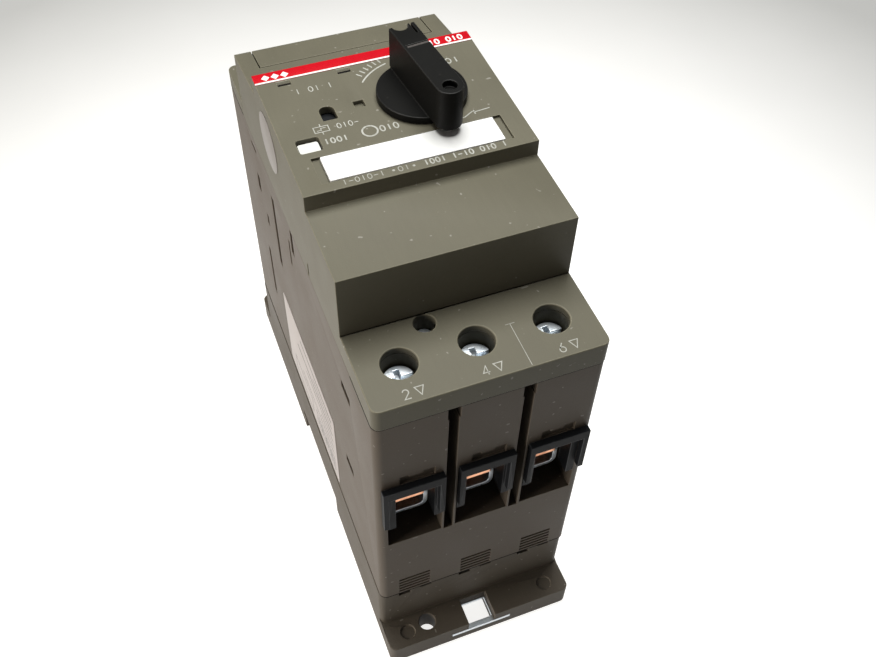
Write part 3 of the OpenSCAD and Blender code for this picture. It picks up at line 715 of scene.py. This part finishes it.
# %% [markdown]
# ## Wound springs
# Every spring in the CAD model is a plain sleeve that keeps its space. The real one is wire wound round a
# cylinder: the centre line is a helix, and the wire is a circle carried along it. The closed end turns lie flat,
# so the height follows a slow, then even, then slow course. Each coil rides on the body that its sleeve rides
# on, and it is rigid: it does not shorten or lengthen when its joint moves.


# %% Springs
STEPS_A_TURN, PACK, PLAY = 28, 0.75, 0.02


def wound(low, high, radius, turns, wire, around=10):
    """A helix upwards in Z: p(t) = (R cos 2 pi n t, R sin 2 pi n t, z(t)); the wire's circle stands on its tangent."""
    t = np.linspace(0, 1, int(turns * STEPS_A_TURN) + 1)
    packed = t - PACK / (2 * math.pi) * np.sin(2 * math.pi * t)
    angle = 2 * math.pi * turns * t
    rise = low + wire / 2 + (high - low - wire) * packed
    path = np.stack([radius * np.cos(angle), radius * np.sin(angle), rise], -1)
    tangent = np.gradient(path, axis=0)
    tangent /= np.linalg.norm(tangent, axis=1, keepdims=True)
    outward = np.stack([np.cos(angle), np.sin(angle), np.zeros_like(t)], -1)
    upward = np.cross(tangent, outward)
    a = np.linspace(0, 2 * math.pi, around, endpoint=False)[None, :, None]
    return path[:, None] + wire / 2 * (np.cos(a) * outward[:, None] + np.sin(a) * upward[:, None])


def coils_in(node, places, turns, wire, axis=2):
    """Coils that fill the node's box, one on each centre in places, wound along z (axis 2) or along y (axis 1)."""
    low, high = (np.array(corner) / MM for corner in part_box(node))
    across = 3 - axis
    radius = (high[across] - low[across]) / 2 - wire / 2 - PLAY
    rings = wound(low[axis] + PLAY, high[axis] - PLAY, radius, turns, wire)
    if axis == 1:
        rings = rings[..., [1, 2, 0]]
    parts = [loft(rings + np.array(place, float)) for place in places]
    return piece(node + "_coils", parts, "steel_bright", body_of[node], replaced=[node])


fitted = [
    coils_in("contact_springs", [(x, 0, 0) for x in POLES], 4.5, 0.45),
    coils_in("opening_springs", [(x, 0, 0) for x in RIBS], 7, 0.45),
    coils_in("test_spring", [(-21.4, -3.7, 0)], 6, 0.45),
    coils_in("din_spring", [(0, 0, 5.8)], 16, 0.35, axis=1),
]

# %% [markdown]
# ## Camera, floor and light
# The view is from above the near left corner. The floor is a pale sheet with painted light: it glows, and its
# colour and glow fade outwards from the middle, a painted pool of light. A warm lamp low on the left and a neutral
# one overhead light the tops and the left side, and the near faces stay dark.

# %% Camera
camera = bpy.data.objects.new("camera", bpy.data.cameras.new("camera"))
camera.location = (-0.059051, -0.172310, 0.285050)
camera.rotation_euler = [math.radians(a) for a in (38.882, -1.182, -21.018)]
camera.data.sensor_width = 36.0
camera.data.lens = 41.479
camera.data.clip_start = 0.01
bpy.context.scene.collection.objects.link(camera)
bpy.context.scene.camera = camera
print("lens mm:", camera.data.lens)

# %% Floor and lights
# The floor's glow is painted light: it lights the breaker from below and keeps the shadows on the floor faint.
paper = Finish("floor_paper", Roughness=0.9, Specular_IOR_Level=0.1, Emission_Strength=1.0)
reach = paper.add("ShaderNodeVectorMath", {"operation": "DISTANCE"}, {0: paper.place, 1: (0.02, 0.0, 0.0)}, output=1)
mottle = paper.noise(45, 3.0) * 0.06
# A painted pool of light: colour and glow fall from bright to dark between 0.10 and 0.32 m from a point near the
# middle, with a faint random mottle.
painted_light_falloff = reach.above(0.10, 0.22) + mottle
paper.drive(Base_Color=paper.blend(painted_light_falloff, (0.42, 0.42, 0.42), (0.20, 0.20, 0.195)),
            Emission_Color=paper.blend(painted_light_falloff, (0.86, 0.85, 0.83), (0.34, 0.34, 0.33)))
sheet = bpy.data.meshes.new("floor")
sheet.from_pydata([(-2, -2, 0), (2, -2, 0), (2, 2, 0), (-2, 2, 0)], [], [(0, 1, 2, 3)])
sheet.materials.append(paper.material)
floor = bpy.data.objects.new("floor", sheet)
bpy.context.scene.collection.objects.link(floor)


def lamp(name, place, aim, size, power, colour):
    """A square area light at a place, turned towards a point."""
    light = bpy.data.lights.new(name, "AREA")
    light.size, light.energy, light.color = size, power, colour
    obj = bpy.data.objects.new(name, light)
    obj.location = place
    direction = np.array(aim) - np.array(place)
    flat = math.hypot(direction[0], direction[1])
    obj.rotation_euler = (math.atan2(flat, -direction[2]), 0, math.atan2(-direction[0], direction[1]))
    bpy.context.scene.collection.objects.link(obj)


lamp("key", (-0.45, -0.07, 0.17), (0, 0, 0.06), 0.25, 3.0, (1.0, 0.93, 0.84))
lamp("top", (0.03, 0.06, 0.48), (0.02, 0, 0.0), 0.25, 3.7, (1.0, 1.0, 0.97))
world = bpy.data.worlds.new("surround")
world.use_nodes = True
world.node_tree.nodes["Background"].inputs[0].default_value = (1.0, 0.99, 0.97, 1.0)
world.node_tree.nodes["Background"].inputs[1].default_value = 0.08
bpy.context.scene.world = world
bpy.context.scene.view_settings.view_transform = "Standard"
